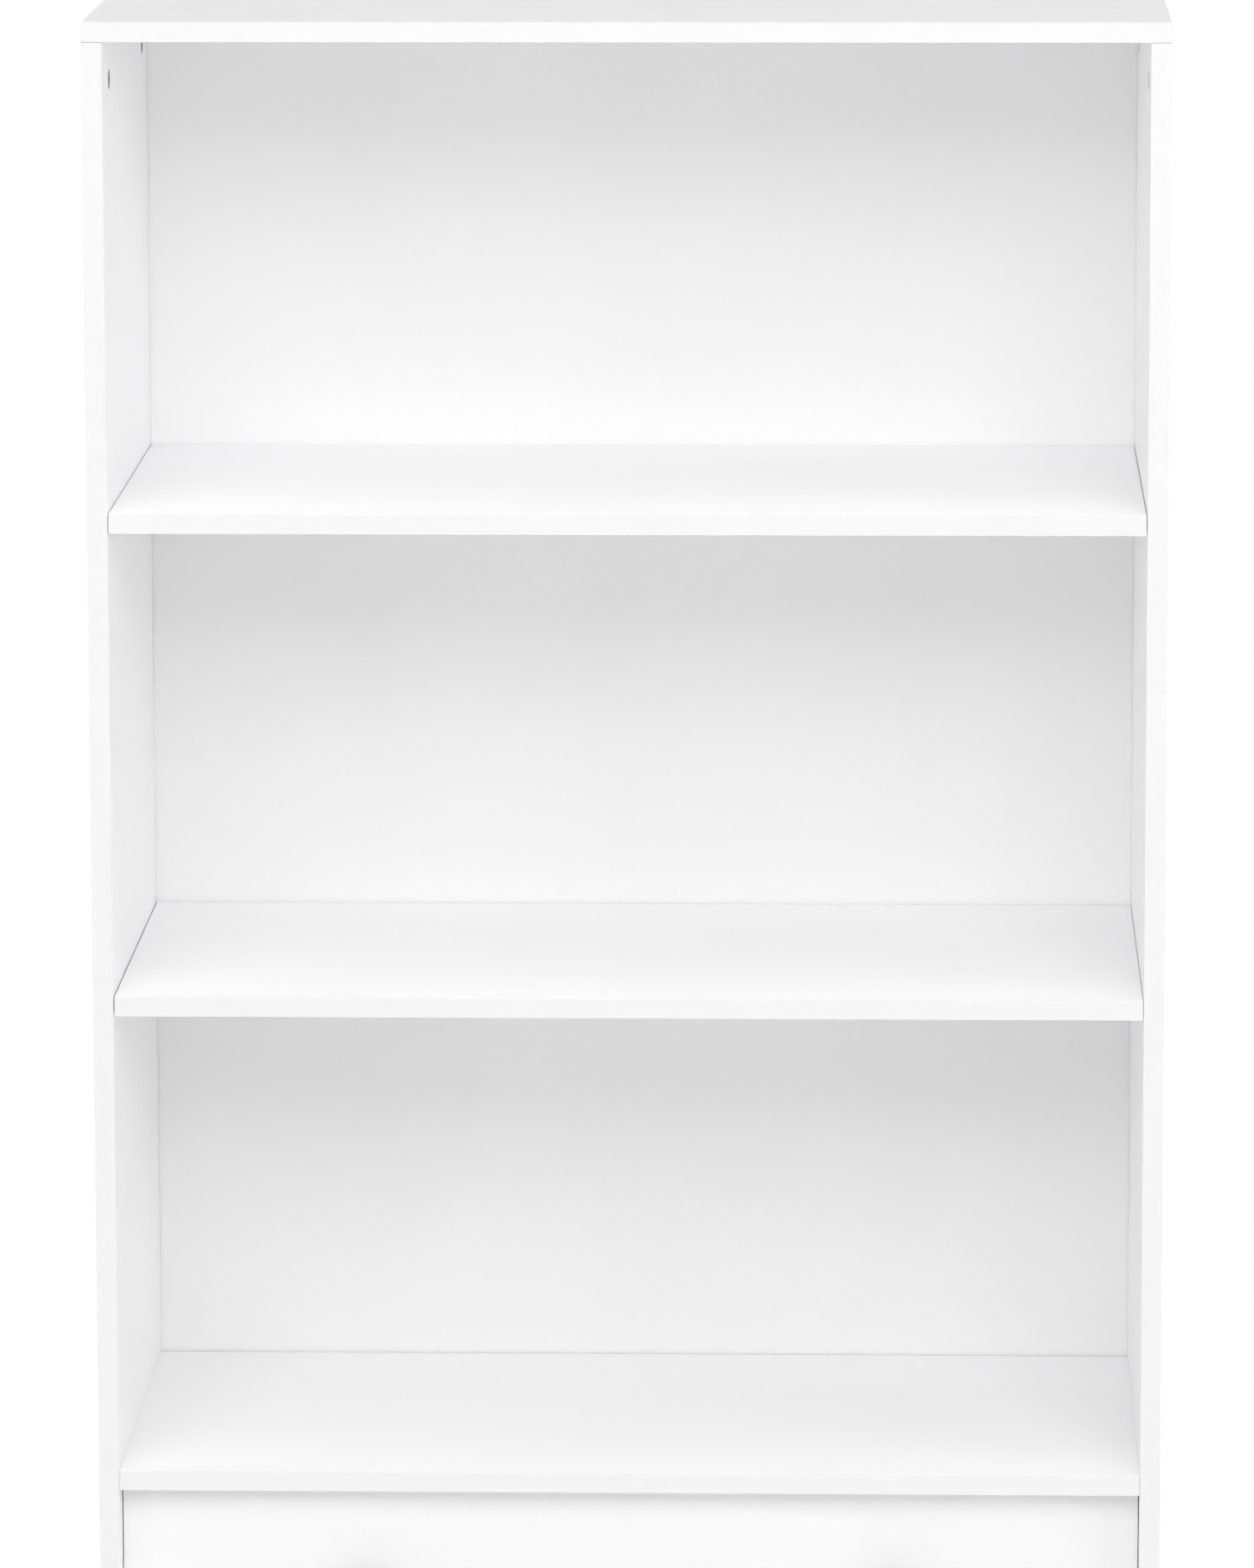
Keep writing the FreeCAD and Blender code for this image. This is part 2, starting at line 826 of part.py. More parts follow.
def knob_profile():
    def at(radius, height):
        return Vector(radius, -height, 0)

    head_back = knob_projection - knob_head_height
    neck_end = head_back - knob_flare
    rim_front = knob_projection - knob_dome
    bend = 1 - 0.5 ** 0.5
    flare_middle = at(knob_neck_radius + knob_flare * bend, head_back - knob_flare * bend)
    rim_middle = at(knob_radius - knob_rim * bend, head_back + knob_rim * bend)
    dome_sphere = (knob_radius ** 2 + knob_dome ** 2) / (2 * knob_dome)
    dome_fall = dome_sphere - (dome_sphere ** 2 - (knob_radius / 2) ** 2) ** 0.5
    dome_middle = at(knob_radius / 2, knob_projection - dome_fall)
    return Part.Wire([
        Part.makeLine(at(0, 0), at(knob_base_radius, 0)),
        Part.makeLine(at(knob_base_radius, 0), at(knob_neck_radius, knob_base_height)),
        Part.makeLine(at(knob_neck_radius, knob_base_height), at(knob_neck_radius, neck_end)),
        Part.Arc(at(knob_neck_radius, neck_end), flare_middle,
                 at(knob_neck_radius + knob_flare, head_back)).toShape(),
        Part.makeLine(at(knob_neck_radius + knob_flare, head_back), at(knob_radius - knob_rim, head_back)),
        Part.Arc(at(knob_radius - knob_rim, head_back), rim_middle,
                 at(knob_radius, head_back + knob_rim)).toShape(),
        Part.makeLine(at(knob_radius, head_back + knob_rim), at(knob_radius, rim_front)),
        Part.Arc(at(knob_radius, rim_front), dome_middle, at(0, knob_projection)).toShape(),
        Part.makeLine(at(0, knob_projection), at(0, 0)),
    ])


def knob(point):
    body = Part.Face(knob_profile()).revolve(Vector(0, 0, 0), to_back, 360)
    depth = knob_screw_bite + hole_end_play
    thread_hole = rod(knob_screw_radius + fit_play, Vector(0, 0, 0), to_front, depth)
    turned = body.cut(thread_hole)
    turned.translate(point)
    return turned


def knobs(front_bottom):
    return group([knob(point) for point in knob_points(front_bottom)])


def knob_screws(front_bottom):
    screws = []
    for point in knob_points(front_bottom):
        seat = point + to_back * drawer_front_board
        shank = rod(knob_screw_radius, seat, to_front, drawer_front_board + knob_screw_bite)
        head = rod(knob_screw_head_radius, seat, to_back, knob_screw_head_height)
        screws.append(joined([shank, head]))
    return group(screws)


# All nodes

def carcass_nodes():
    return {
        "top_panel": top_panel(),
        "left_side_panel": side_panel(left),
        "right_side_panel": side_panel(right),
        "bottom_shelf": fixed_panel(bottom_shelf_under),
        "base_panel": fixed_panel(base_under),
        "plinth_board": plinth_board(),
        "back_panel": back_panel(),
        "upper_shelf": loose_shelf(upper_shelf_under, 0, upper_shelf_backward),
        "lower_shelf": loose_shelf(lower_shelf_under, lower_shelf_sideways, 0),
        "upper_shelf_pins": shelf_pins(upper_shelf_under),
        "lower_shelf_pins": shelf_pins(lower_shelf_under),
        "carcass_cam_discs": carcass_discs(),
        "carcass_cam_bolts": carcass_bolts(),
        "carcass_dowels": carcass_dowels(),
        "back_panel_nails": back_nails(),
        "floor_glides": floor_glides(),
        "wall_bracket": wall_bracket(),
        "wall_bracket_screws": bracket_screws(),
        "cabinet_runner_screws": cabinet_runner_screws(),
    }


def drawer_nodes(name, front_bottom):
    pieces = {
        "front": drawer_front(front_bottom),
        "left_side": drawer_side(left, front_bottom),
        "right_side": drawer_side(right, front_bottom),
        "back": drawer_back(front_bottom),
        "bottom": drawer_bottom(front_bottom),
        "knobs": knobs(front_bottom),
        "knob_screws": knob_screws(front_bottom),
        "cam_discs": drawer_discs(front_bottom),
        "cam_bolts": drawer_bolts(front_bottom),
        "dowels": drawer_dowels(front_bottom),
        "back_screws": drawer_back_screws(front_bottom),
        "left_rail": drawer_rail(left, front_bottom),
        "right_rail": drawer_rail(right, front_bottom),
        "rail_screws": drawer_rail_screws(front_bottom),
        "rear_rollers": rear_rollers(front_bottom),
        "left_cabinet_runner": cabinet_runner(left, front_bottom),
        "right_cabinet_runner": cabinet_runner(right, front_bottom),
        "front_rollers": front_rollers(front_bottom),
    }
    return {name + "_drawer_" + piece: shape for piece, shape in pieces.items()}


def main():
    os.makedirs("parts", exist_ok=True)
    nodes = carcass_nodes()
    nodes.update(drawer_nodes("upper", upper_front_bottom))
    nodes.update(drawer_nodes("lower", lower_front_bottom))
    for name, shape in nodes.items():
        shape.exportStep("parts/" + name + ".step")
    print("nodes", len(nodes))


if __name__ == "__main__":
    main()
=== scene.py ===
import math
import bmesh
import bpy
from mathutils import Matrix, Vector


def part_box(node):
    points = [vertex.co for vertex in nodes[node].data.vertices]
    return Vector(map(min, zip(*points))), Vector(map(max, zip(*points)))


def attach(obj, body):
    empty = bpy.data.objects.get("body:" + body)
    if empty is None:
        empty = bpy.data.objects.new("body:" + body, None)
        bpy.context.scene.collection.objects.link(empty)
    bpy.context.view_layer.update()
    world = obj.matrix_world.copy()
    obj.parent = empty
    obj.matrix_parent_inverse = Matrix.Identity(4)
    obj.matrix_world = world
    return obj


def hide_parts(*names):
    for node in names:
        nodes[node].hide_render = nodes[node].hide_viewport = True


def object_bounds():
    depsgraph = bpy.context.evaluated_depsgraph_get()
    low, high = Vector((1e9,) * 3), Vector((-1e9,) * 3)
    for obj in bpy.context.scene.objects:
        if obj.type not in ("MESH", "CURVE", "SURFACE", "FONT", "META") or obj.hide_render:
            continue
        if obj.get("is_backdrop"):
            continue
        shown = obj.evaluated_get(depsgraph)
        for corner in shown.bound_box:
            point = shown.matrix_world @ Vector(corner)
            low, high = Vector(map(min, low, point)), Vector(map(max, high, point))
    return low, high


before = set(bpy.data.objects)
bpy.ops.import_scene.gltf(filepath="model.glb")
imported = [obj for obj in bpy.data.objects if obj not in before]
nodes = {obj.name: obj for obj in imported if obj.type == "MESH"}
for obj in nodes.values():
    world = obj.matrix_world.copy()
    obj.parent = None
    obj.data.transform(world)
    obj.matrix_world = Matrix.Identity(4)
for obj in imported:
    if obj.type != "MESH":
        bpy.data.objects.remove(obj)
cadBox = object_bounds()
scene = bpy.context.scene
mm = 0.001


# shader helpers

class Wire:
    # a socket; sums with it add Math nodes to its own finish
    def __init__(self, finish, socket):
        self.finish = finish
        self.socket = socket

    def maths(self, operation, first, second):
        return self.finish.node("ShaderNodeMath", {"operation": operation}, {0: first, 1: second})

    def other(self, name):  # another output of the same node
        return Wire(self.finish, self.socket.node.outputs[name])

    def __add__(self, term):
        return self.maths("ADD", self, term)

    def __radd__(self, term):
        return self.maths("ADD", term, self)

    def __sub__(self, term):
        return self.maths("SUBTRACT", self, term)

    def __rsub__(self, term):
        return self.maths("SUBTRACT", term, self)

    def __mul__(self, term):
        return self.maths("MULTIPLY", self, term)

    def __rmul__(self, term):
        return self.maths("MULTIPLY", term, self)

    def __pow__(self, term):
        return self.maths("POWER", self, term)

    def __rpow__(self, term):
        return self.maths("POWER", term, self)


class Finish:
    # node tree of one material, or of the world
    def __init__(self, owner):
        self.owner = owner
        owner.use_nodes = True
        self.tree = owner.node_tree
        self.tree.nodes.clear()

    def node(self, kind, settings=None, inputs=None, out=0):
        made = self.tree.nodes.new(kind)
        for key, setting in (settings or {}).items():
            if key == "stops":
                self.setStops(made.color_ramp.elements, setting)
            else:
                setattr(made, key, setting)
        for key, given in (inputs or {}).items():
            if isinstance(given, Wire):
                self.tree.links.new(given.socket, made.inputs[key])
            else:
                made.inputs[key].default_value = given
        return Wire(self, made.outputs[out]) if made.outputs else made

    def setStops(self, elements, stops):
        while len(elements) < len(stops):
            elements.new(1.0)
        for element, (position, colour) in zip(elements, stops):
            element.position = position
            element.color = colour

    def spot(self):
        return self.node("ShaderNodeTexCoord", out="Object")

    def pulled(self, x, y, z):  # object coordinates, squeezed or pulled along the axes
        return self.node("ShaderNodeVectorMath", {"operation": "MULTIPLY"}, {0: self.spot(), 1: (x, y, z)})

    def noise(self, size, detail=2.0, rough=0.5, at=None):
        values = {"Vector": at or self.spot(), "Scale": 1 / size, "Detail": detail, "Roughness": rough}
        return self.node("ShaderNodeTexNoise", {}, values)

    def span(self, value, low, high, start=0.0, end=1.0):
        values = {"Value": value, "From Min": low, "From Max": high, "To Min": start, "To Max": end}
        return self.node("ShaderNodeMapRange", {"interpolation_type": "SMOOTHSTEP"}, values)

    def mixed(self, share, first, second):
        colourSockets = {0: share, 6: first, 7: second}
        return self.node("ShaderNodeMix", {"data_type": "RGBA"}, colourSockets, 2)

    def ramp(self, value, stops):
        return self.node("ShaderNodeValToRGB", {"stops": stops}, {"Fac": value})

    def bumped(self, height, depth, normal=None):
        values = {"Height": height, "Distance": depth, "Strength": 1.0}
        if normal:
            values["Normal"] = normal
        return self.node("ShaderNodeBump", {}, values)

    def seen(self):  # 1 for what the lens, a mirror or clear plastic sees, 0 for what lights the object
        path = self.node("ShaderNodeLightPath", out="Is Camera Ray")
        return path + path.other("Is Glossy Ray") + path.other("Is Transmission Ray")

    def surface(self, values):
        shader = self.node("ShaderNodeBsdfPrincipled", {}, values)
        self.node("ShaderNodeOutputMaterial", {}, {"Surface": shader})
        return self.owner


def newFinish(name):
    return Finish(bpy.data.materials.new(name))


# finishes

melamineLook = {
    "white": (0.944, 0.942, 0.947, 1), "shade": (0.932, 0.93, 0.934, 1),
    "cloudSize": 0.14, "mottleSize": 0.0022, "smudgeSize": 0.06, "rubSize": 0.004,
    "rough": 0.36, "smudgeRough": 0.09, "rubRough": 0.1,
    "pearlSize": 0.0009, "pearlDepth": 0.012 * mm, "waveSize": 0.008, "waveDepth": 0.02 * mm,
}
# edge band white, darker than the melamine: painted shade that holds down the front edges, which the front
# lamps light most
shadedBandLook = {
    "white": (0.832, 0.83, 0.835, 1), "shade": (0.82, 0.818, 0.822, 1),
    "cloudSize": 0.05, "mottleSize": 0.006, "smudgeSize": 0.03, "rubSize": 0.003,
    "rough": 0.31, "smudgeRough": 0.12, "rubRough": 0.12,
    "pearlSize": 0.0016, "pearlDepth": 0.008 * mm, "waveSize": 0.02, "waveDepth": 0.04 * mm,
}
# drawer fronts: the melamine with a darker white, a painted-shade copy that holds down the fronts the front
# lamps light most
shadedFrontLook = dict(
    melamineLook, white=(0.894, 0.892, 0.898, 1), shade=(0.88, 0.878, 0.883, 1), smudgeRough=0.12,
)
foilLook = {
    "white": (0.9, 0.898, 0.902, 1), "shade": (0.875, 0.873, 0.876, 1),
    "cloudSize": 0.09, "mottleSize": 0.003, "smudgeSize": 0.04, "rubSize": 0.003,
    "rough": 0.42, "smudgeRough": 0.1, "rubRough": 0.1,
    "pearlSize": 0.0012, "pearlDepth": 0.01 * mm, "waveSize": 0.005, "waveDepth": 0.02 * mm,
}
lacquerLook = {
    "white": (0.942, 0.94, 0.944, 1), "shade": (0.93, 0.928, 0.931, 1),
    "cloudSize": 0.2, "mottleSize": 0.0035, "smudgeSize": 0.08, "rubSize": 0.005,
    "rough": 0.46, "smudgeRough": 0.08, "rubRough": 0.06,
    "pearlSize": 0.0006, "pearlDepth": 0.008 * mm, "waveSize": 0.012, "waveDepth": 0.03 * mm,
}
coatMix = {  # how the patterns of every white coat mix
    "cloudShare": 0.7, "mottleShare": 0.3, "cloudSpan": (0.32, 0.62), "smudgeSpan": (0.45, 0.75),
    "rubSpan": (0.64, 0.8), "rubLie": (1, 0.05, 1), "ior": 1.47,
}


def makeWhiteCoat(name, look):
    coat = newFinish(name)
    cloud = coat.noise(look["cloudSize"], detail=3) * coatMix["cloudShare"]
    mottle = coat.noise(look["mottleSize"]) * coatMix["mottleShare"]
    colour = coat.mixed(coat.span(cloud + mottle, *coatMix["cloudSpan"]), look["shade"], look["white"])
    smudge = coat.span(coat.noise(look["smudgeSize"], detail=4, rough=0.65), *coatMix["smudgeSpan"])
    rub = coat.span(coat.noise(look["rubSize"], at=coat.pulled(*coatMix["rubLie"])), *coatMix["rubSpan"])
    rough = look["rough"] + smudge * look["smudgeRough"] + rub * look["rubRough"]
    pearl = coat.bumped(coat.noise(look["pearlSize"], detail=1.5), look["pearlDepth"])
    normal = coat.bumped(coat.noise(look["waveSize"]), look["waveDepth"], pearl)
    return coat.surface({"Base Color": colour, "Roughness": rough, "Normal": normal, "IOR": coatMix["ior"]})


chipboardLook = {
    "chipSize": 0.0034, "lie": (0.55, 0.55, 1.5), "grainSize": 0.0007, "depth": 0.12 * mm,
    "tones": [(0.0, (0.16, 0.09, 0.045, 1)), (0.25, (0.36, 0.235, 0.125, 1)),
              (0.6, (0.5, 0.355, 0.21, 1)), (1.0, (0.66, 0.51, 0.34, 1))],
    "chipTone": 0.75, "grainTone": 0.3, "chipRise": 0.6, "grainRise": 0.5, "rough": 0.8, "chipRough": 0.15,
}


def makeChipboard(look):
    chipboard = newFinish("rawChipboard")
    values = {"Vector": chipboard.pulled(*look["lie"]), "Scale": 1 / look["chipSize"]}
    chips = chipboard.node("ShaderNodeTexVoronoi", {}, values, "Color")
    tone = chipboard.node("ShaderNodeSeparateColor", {}, {"Color": chips})
    grain = chipboard.noise(look["grainSize"], detail=4, rough=0.6)
    colour = chipboard.ramp(tone * look["chipTone"] + grain * look["grainTone"], look["tones"])
    height = chips.other("Distance") * look["chipRise"] + grain * look["grainRise"]
    return chipboard.surface({"Base Color": colour, "Roughness": look["rough"] + tone * look["chipRough"],
                              "Normal": chipboard.bumped(height, look["depth"])})


hardboardLook = {
    "dark": (0.2, 0.112, 0.058, 1), "pale": (0.3, 0.178, 0.095, 1),
    "fibreSize": 0.0045, "patchSize": 0.11, "fibreTone": 0.85, "patchTone": 0.15, "toneSpan": (0.3, 0.68),
    "screenPitch": 1.5 * mm, "screenRise": 0.5, "fibreRise": 0.8, "depth": 0.1 * mm,
    "rough": 0.72, "fibreRough": 0.2,
}


def makeHardboard(look):
    hardboard = newFinish("rawHardboard")
    fibre = hardboard.noise(look["fibreSize"], detail=5, rough=0.65)
    patch = hardboard.noise(look["patchSize"], detail=3)
    tone = hardboard.span(fibre * look["fibreTone"] + patch * look["patchTone"], *look["toneSpan"])
    colour = hardboard.mixed(tone, look["dark"], look["pale"])
    axes = hardboard.node("ShaderNodeSeparateXYZ", {}, {"Vector": hardboard.spot()})
    turns = 2 * math.pi / look["screenPitch"]
    wires = [hardboard.node("ShaderNodeMath", {"operation": "SINE"}, {0: axis * turns})
             for axis in (axes, axes.other("Y") + axes.other("Z"))]
    # the press screen leaves its print
    height = wires[0] * wires[1] * look["screenRise"] + fibre * look["fibreRise"]
    return hardboard.surface({"Base Color": colour, "Roughness": look["rough"] + fibre * look["fibreRough"],
                              "Normal": hardboard.bumped(height, look["depth"])})


castLook = {
    "pale": (0.38, 0.38, 0.39, 1), "dark": (0.2, 0.2, 0.207, 1),
    "grainSize": 0.0006, "depth": 0.03 * mm, "rough": 0.42, "worn": 0.2,
}
platedLook = {
    "pale": (0.66, 0.67, 0.69, 1), "dark": (0.5, 0.515, 0.55, 1),
    "grainSize": 0.0025, "depth": 0.004 * mm, "rough": 0.22, "worn": 0.2,
}
metalMix = {"filmScale": 9, "grainTone": 0.5, "filmTone": 0.5, "toneSpan": (0.32, 0.66)}


def makeMetal(name, look):
    metal = newFinish(name)
    grain = metal.noise(look["grainSize"], detail=4, rough=0.6)
    film = metal.noise(look["grainSize"] * metalMix["filmScale"], detail=3)
    tone = metal.span(grain * metalMix["grainTone"] + film * metalMix["filmTone"], *metalMix["toneSpan"])
    colour = metal.mixed(tone, look["dark"], look["pale"])
    rough = look["rough"] + film * look["worn"]
    return metal.surface({"Base Color": colour, "Metallic": 1.0, "Roughness": rough,
                          "Normal": metal.bumped(grain, look["depth"])})


epoxyLook = {
    "pale": (0.82, 0.82, 0.81, 1), "dark": (0.77, 0.77, 0.755, 1),
    "peelSize": 0.0016, "depth": 0.02 * mm, "rough": 0.32,
}
nylonLook = {
    "pale": (0.78, 0.77, 0.72, 1), "dark": (0.7, 0.685, 0.62, 1),
    "peelSize": 0.0009, "depth": 0.01 * mm, "rough": 0.38,
}
# dark grey for the roundings where a band ends at a cut: a glue line, and painted shade standing in for the
# shadow in the seam
glueAndSeamShadeLook = {
    "pale": (0.4, 0.395, 0.39, 1), "dark": (0.27, 0.265, 0.26, 1),
    "peelSize": 0.0005, "depth": 0.02 * mm, "rough": 0.55,
}
glideLook = {
    "pale": (0.5, 0.495, 0.48, 1), "dark": (0.4, 0.39, 0.375, 1),
    "peelSize": 0.0008, "depth": 0.02 * mm, "rough": 0.42,
}
mouldedMix = {"dustScale": 14, "dustSpan": (0.35, 0.65), "dustRough": 0.16}


def makeMoulded(name, look):
    moulded = newFinish(name)
    peel = moulded.noise(look["peelSize"], detail=3)
    dust = moulded.noise(look["peelSize"] * mouldedMix["dustScale"], detail=5, rough=0.6)
    colour = moulded.mixed(moulded.span(dust, *mouldedMix["dustSpan"]), look["dark"], look["pale"])
    rough = look["rough"] + dust * mouldedMix["dustRough"]
    return moulded.surface({"Base Color": colour, "Roughness": rough,
                            "Normal": moulded.bumped(peel, look["depth"])})


beechLook = {
    "pale": (0.62, 0.42, 0.25, 1), "dark": (0.47, 0.29, 0.155, 1), "toneSpan": (0.35, 0.65),
    "ringSize": 0.0016, "ringLie": (0.12, 1, 0.12), "ringTone": 0.7, "fleckSize": 0.0007, "fleckTone": 0.3,
    "depth": 0.03 * mm, "rough": 0.62, "fleckRough": 0.2,
}


def makeBeech(look):
    beech = newFinish("beech")
    rings = beech.noise(look["ringSize"], detail=3, at=beech.pulled(*look["ringLie"]))
    fleck = beech.noise(look["fleckSize"])
    tone = beech.span(rings * look["ringTone"] + fleck * look["fleckTone"], *look["toneSpan"])
    colour = beech.mixed(tone, look["dark"], look["pale"])
    return beech.surface({"Base Color": colour, "Roughness": look["rough"] + fleck * look["fleckRough"],
                          "Normal": beech.bumped(rings, look["depth"])})


nickelLook = {
    "pale": (0.63, 0.605, 0.56, 1), "dark": (0.46, 0.437, 0.4, 1), "toneSpan": (0.3, 0.7),
    "lineSize": 0.0003, "lineTone": 0.6, "filmSize": 0.006, "filmTone": 0.4, "depth": 0.004 * mm,
    "rough": 0.16, "filmRough": 0.1, "lineRough": 0.06,
}


def makeNickel(name, look, across, height):
    # turning marks run round the axis of each knob
    nickel = newFinish(name)
    axes = nickel.node("ShaderNodeSeparateXYZ", {}, {"Vector": nickel.spot()})
    side = nickel.node("ShaderNodeMath", {"operation": "ABSOLUTE"}, {0: axes}) - across
    rise = axes.other("Z") - height
    reach = (side * side + rise * rise) ** 0.5
    line = nickel.node("ShaderNodeCombineXYZ", {}, {"X": reach, "Y": axes.other("Y")})
    marks = nickel.noise(look["lineSize"], at=line)
    film = nickel.noise(look["filmSize"], detail=4, rough=0.6)
    tone = nickel.span(marks * look["lineTone"] + film * look["filmTone"], *look["toneSpan"])
    colour = nickel.mixed(tone, look["dark"], look["pale"])
    rough = look["rough"] + film * look["filmRough"] + marks * look["lineRough"]
    return nickel.surface({"Base Color": colour, "Metallic": 1.0, "Roughness": rough,
                           "Normal": nickel.bumped(marks, look["depth"])})


melamine = makeWhiteCoat("whiteMelamine", melamineLook)
edgeBand = makeWhiteCoat("whiteEdgeBand", shadedBandLook)
shadedFrontCoat = makeWhiteCoat("whiteDrawerFront", shadedFrontLook)
foil = makeWhiteCoat("whiteFoil", foilLook)
lacquer = makeWhiteCoat("whiteLacquer", lacquerLook)
chipboard = makeChipboard(chipboardLook)
hardboard = makeHardboard(hardboardLook)
castZinc = makeMetal("castZinc", castLook)
platedSteel = makeMetal("platedSteel", platedLook)
epoxy = makeMoulded("whiteEpoxy", epoxyLook)
nylon = makeMoulded("nylon", nylonLook)
glueAndSeamShade = makeMoulded("glueAndSeamShade", glueAndSeamShadeLook)
glidePlastic = makeMoulded("glidePlastic", glideLook)
beech = makeBeech(beechLook)
print("finishes:", len(bpy.data.materials))


# boards that stay as the CAD made them, with a finish for each kind of face

allEdges = ("-x", "+x", "-y", "+y", "-z", "+z")
looseEdges = ("-x", "+x", "-y", "+y")
boardBands = {
    "top_panel": ("-y", "-x", "+x"), "left_side_panel": ("-y",), "right_side_panel": ("-y",),
    "bottom_shelf": ("-y",), "base_panel": ("-y",), "upper_shelf": looseEdges, "lower_shelf": looseEdges,
    "plinth_board": (),
}
touching = 0.02 * mm  # a corner this near a side of the board's box lies on that side
easing = 0.7 * mm  # reach of the rounded edges
faceSlot, bandSlot, rawSlot, glueAndShadeSlot = range(4)


def sidesNear(point, box, reach):
    low, high = box
    near = []
    for axis, letter in enumerate("xyz"):
        if abs(point[axis] - low[axis]) < reach:
            near.append("-" + letter)
        if abs(point[axis] - high[axis]) < reach:
            near.append("+" + letter)
    return near


def flatSide(mesh, polygon, box):
    shared = None
    for index in polygon.vertices:
        near = set(sidesNear(mesh.vertices[index].co, box, touching))
        shared = near if shared is None else shared & near
    return min(shared) if shared else None


def roundingFinish(near, faces, bands):
    # slot for a rounded edge, by the sides that meet there; bores and grooves are raw
    if len(near) < 2 or not near & (faces | bands):
        return rawSlot
    if near & bands:
        return glueAndShadeSlot if near - faces - bands else bandSlot  # a glue line, and painted seam shade, where the band ends at a cut
    return faceSlot


def dressBoard(name, face, band, raw, bands):
    mesh = nodes[name].data
    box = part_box(name)
    thin = min(range(3), key=lambda axis: box[1][axis] - box[0][axis])
    faces = {"-" + "xyz"[thin], "+" + "xyz"[thin]}
    mesh.materials.clear()
    for finish in (face, band, raw, glueAndSeamShade):
        mesh.materials.append(finish)
    for polygon in mesh.polygons:
        side = flatSide(mesh, polygon, box)
        if side in faces:
            slot = faceSlot
        elif side:
            slot = bandSlot if side in bands else rawSlot
        else:
            slot = roundingFinish(set(sidesNear(polygon.center, box, easing)), faces, set(bands))
        polygon.material_index = slot


def dressSheet(name, front, rear, frontSide):
    mesh = nodes[name].data
    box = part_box(name)
    mesh.materials.clear()
    for finish in (front, rear):
        mesh.materials.append(finish)
    for polygon in mesh.polygons:
        polygon.material_index = 0 if flatSide(mesh, polygon, box) == frontSide else 1


def dressWhole(name, finish):
    mesh = nodes[name].data
    mesh.materials.clear()
    mesh.materials.append(finish)


for name, bands in boardBands.items():
    dressBoard(name, melamine, edgeBand, chipboard, bands)
dressSheet("back_panel", lacquer, hardboard, "-y")
levels = ("upper", "lower")
for level in levels:
    dressBoard(level + "_drawer_front", shadedFrontCoat, edgeBand, chipboard, allEdges)
    for board in ("left_side", "right_side", "back"):
        dressBoard(f"{level}_drawer_{board}", foil, foil, chipboard, ("+z",))
    dressSheet(level + "_drawer_bottom", lacquer, hardboard, "+z")
print("boards dressed")


# mesh helpers for the small pieces

onAxis = 1e-9  # a smaller radius is a point on the axis
weldReach = 1e-6  # corners nearer than this are one
crestShare = 0.45  # of a thread's pitch, taken by its ridge
cornerShare = 0.45  # of a profile's side, at most, goes into a rounded corner
crossTaper = {"above": 0.3 * mm, "mouth": 1.05, "tip": 0.62}


def turned(profile, steps, pitch=None, closed=False):
    # spins (radius, height) points round Z; a third number is the crest of a thread there
    shape = bmesh.new()
    rings = []
    for radius, height, *crest in profile:
        if radius < onAxis:
            rings.append([shape.verts.new((0, 0, height))])
            continue
        ring = []
        for step in range(steps):
            turn = step / steps
            reach = radius
            if crest and pitch:
                phase = (height / pitch - turn) % 1
                reach += crest[0] * max(0, 1 - abs(2 * phase - 1) / crestShare)
            angle = 2 * math.pi * turn
            ring.append(shape.verts.new((reach * math.cos(angle), reach * math.sin(angle), height)))
        rings.append(ring)
    pairs = list(zip(rings, rings[1:]))
    if closed:
        pairs.append((rings[-1], rings[0]))
    for lower, upper in pairs:
        for step in range(steps):
            after = step + 1
            corners = [lower[step % len(lower)], lower[after % len(lower)],
                       upper[after % len(upper)], upper[step % len(upper)]]
            shape.faces.new(list(dict.fromkeys(corners)))
    bmesh.ops.recalc_face_normals(shape, faces=shape.faces)
    return shape


def softened(corners, cut, steps=4):
    # rounds the corners of a profile between its two ends
    points = [tuple(corners[0])]
    for before, corner, after in zip(corners, corners[1:], corners[2:]):
        here = Vector(corner)
        sides = [Vector(before) - here, Vector(after) - here]
        start, end = [here + side.normalized() * min(cut, side.length * cornerShare) for side in sides]
        for step in range(steps + 1):
            share = step / steps
            points.append(tuple(start.lerp(here, share).lerp(here.lerp(end, share), share)))
    points.append(tuple(corners[-1]))
    return points


def crossCutter(reach, width, depth):
    # tapered cross driven down from the plane z = 0
    half = width / 2
    arm = reach / 2
    outline = [(arm, -half), (arm, half), (half, half), (half, arm), (-half, arm), (-half, half),
               (-arm, half), (-arm, -half), (-half, -half), (-half, -arm), (half, -arm), (half, -half)]
    shape = bmesh.new()
    rings = []
    for height, scale in ((crossTaper["above"], crossTaper["mouth"]), (-depth, crossTaper["tip"])):
        rings.append([shape.verts.new((x * scale, y * scale, height)) for x, y in outline])
    for step in range(len(outline)):
        after = (step + 1) % len(outline)
        shape.faces.new((rings[0][step], rings[0][after], rings[1][after], rings[1][step]))
    for ring in rings:
        shape.faces.new(ring)
    bmesh.ops.recalc_face_normals(shape, faces=shape.faces)
    return shape


def meshFrom(shape, name):
    mesh = bpy.data.meshes.new(name)
    shape.to_mesh(mesh)
    shape.free()
    return mesh


